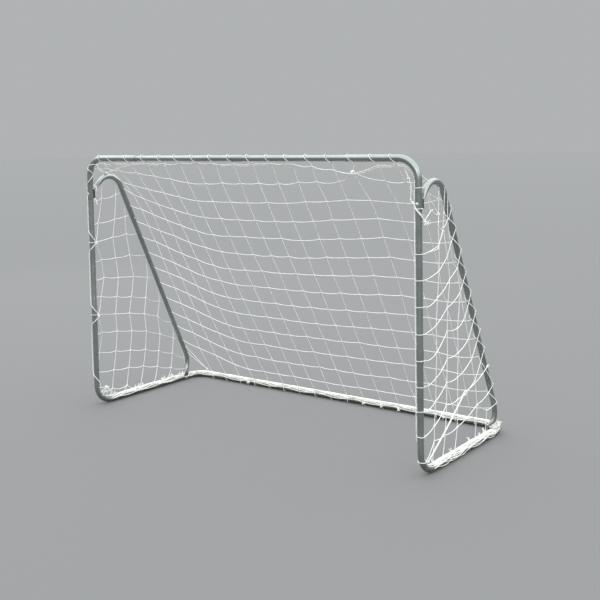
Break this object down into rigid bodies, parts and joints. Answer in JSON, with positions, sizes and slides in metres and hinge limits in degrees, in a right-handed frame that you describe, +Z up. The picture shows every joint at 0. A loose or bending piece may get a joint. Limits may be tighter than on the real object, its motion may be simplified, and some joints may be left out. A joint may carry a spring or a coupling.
{
  "type": "soccer goal frame",
  "caption": "Small garden soccer goal: plug-together bent steel tube frame with side hoops, snap-button joints and a knotted twine net.",
  "frame": {"origin": "on the ground, at the middle of the footprint", "axes": "+X to the goal's right as seen from the field, +Y from the goal mouth to the rear bar, +Z up"},
  "size_m": [1.8374, 0.7572, 1.2194],
  "materials": {
    "powder_coat": "mid grey powder coat, semi gloss, slightly textured",
    "zinc": "bright zinc plated steel",
    "spring_steel": "oiled spring steel strip",
    "net_twine": "white braided polyethylene twine, knotted in a square mesh",
    "rope": "white twisted hem cord"
  },
  "bodies": {
    "goal_frame": {"corner_tube_left": "powder_coat", "corner_tube_right": "powder_coat", "crossbar_tube_left": "powder_coat", "crossbar_tube_right": "powder_coat", "upright_tube_left": "powder_coat", "upright_tube_right": "powder_coat", "lower_front_tube_left": "powder_coat", "lower_front_tube_right": "powder_coat", "rear_corner_tube_left": "powder_coat", "rear_corner_tube_right": "powder_coat", "rear_bar_tube_left": "powder_coat", "rear_bar_tube_right": "powder_coat", "hoop_upper_tube_left": "powder_coat", "hoop_upper_tube_right": "powder_coat", "hoop_lower_tube_left": "powder_coat", "hoop_lower_tube_right": "powder_coat", "crossbar_centre_spring": "spring_steel", "crossbar_left_spring": "spring_steel", "crossbar_right_spring": "spring_steel", "rear_bar_centre_spring": "spring_steel", "rear_bar_left_spring": "spring_steel", "rear_bar_right_spring": "spring_steel", "upright_left_spring": "spring_steel", "upright_right_spring": "spring_steel", "side_left_spring": "spring_steel", "side_right_spring": "spring_steel", "hoop_left_spring": "spring_steel", "hoop_right_spring": "spring_steel", "hoop_top_left_bolt": "zinc", "hoop_top_left_washer": "zinc", "hoop_top_left_nut": "zinc", "hoop_top_right_bolt": "zinc", "hoop_top_right_washer": "zinc", "hoop_top_right_nut": "zinc", "hoop_foot_left_bolt": "zinc", "hoop_foot_left_washer": "zinc", "hoop_foot_left_nut": "zinc", "hoop_foot_right_bolt": "zinc", "hoop_foot_right_washer": "zinc", "hoop_foot_right_nut": "zinc", "net_back_panel": "net_twine", "net_left_panel": "net_twine", "net_right_panel": "net_twine", "mouth_hem_cord": "rope", "ground_rope": "rope", "side_tie_cord": "rope"},
    "crossbar_centre_button": {"crossbar_centre_button": "zinc"},
    "crossbar_left_button": {"crossbar_left_button": "zinc"},
    "crossbar_right_button": {"crossbar_right_button": "zinc"},
    "rear_bar_centre_button": {"rear_bar_centre_button": "zinc"},
    "rear_bar_left_button": {"rear_bar_left_button": "zinc"},
    "rear_bar_right_button": {"rear_bar_right_button": "zinc"},
    "upright_left_button": {"upright_left_button": "zinc"},
    "upright_right_button": {"upright_right_button": "zinc"},
    "side_left_button": {"side_left_button": "zinc"},
    "side_right_button": {"side_right_button": "zinc"},
    "hoop_left_button": {"hoop_left_button": "zinc"},
    "hoop_right_button": {"hoop_right_button": "zinc"}
  },
  "joints": [
    {"name": "crossbar_centre_press", "type": "slide", "parent": "goal_frame", "child": "crossbar_centre_button", "axis": [0, 1, 0], "range_m": [-0.0052, 0], "stiffness_N_per_m": 2500},
    {"name": "crossbar_left_press", "type": "slide", "parent": "goal_frame", "child": "crossbar_left_button", "axis": [0, 1, 0], "range_m": [-0.0052, 0], "stiffness_N_per_m": 2500},
    {"name": "crossbar_right_press", "type": "slide", "parent": "goal_frame", "child": "crossbar_right_button", "axis": [0, 1, 0], "range_m": [-0.0052, 0], "stiffness_N_per_m": 2500},
    {"name": "rear_bar_centre_press", "type": "slide", "parent": "goal_frame", "child": "rear_bar_centre_button", "axis": [0, 1, 0], "range_m": [-0.0052, 0], "stiffness_N_per_m": 2500},
    {"name": "rear_bar_left_press", "type": "slide", "parent": "goal_frame", "child": "rear_bar_left_button", "axis": [0, 1, 0], "range_m": [-0.0052, 0], "stiffness_N_per_m": 2500},
    {"name": "rear_bar_right_press", "type": "slide", "parent": "goal_frame", "child": "rear_bar_right_button", "axis": [0, 1, 0], "range_m": [-0.0052, 0], "stiffness_N_per_m": 2500},
    {"name": "upright_left_press", "type": "slide", "parent": "goal_frame", "child": "upright_left_button", "axis": [0, 1, 0], "range_m": [-0.0052, 0], "stiffness_N_per_m": 2500},
    {"name": "upright_right_press", "type": "slide", "parent": "goal_frame", "child": "upright_right_button", "axis": [0, 1, 0], "range_m": [-0.0052, 0], "stiffness_N_per_m": 2500},
    {"name": "side_left_press", "type": "slide", "parent": "goal_frame", "child": "side_left_button", "axis": [1, 0, 0], "range_m": [-0.0052, 0], "stiffness_N_per_m": 2500},
    {"name": "side_right_press", "type": "slide", "parent": "goal_frame", "child": "side_right_button", "axis": [-1, 0, 0], "range_m": [-0.0052, 0], "stiffness_N_per_m": 2500},
    {"name": "hoop_left_press", "type": "slide", "parent": "goal_frame", "child": "hoop_left_button", "axis": [1, 0, 0], "range_m": [-0.0052, 0], "stiffness_N_per_m": 2500},
    {"name": "hoop_right_press", "type": "slide", "parent": "goal_frame", "child": "hoop_right_button", "axis": [-1, 0, 0], "range_m": [-0.0052, 0], "stiffness_N_per_m": 2500}
  ]
}
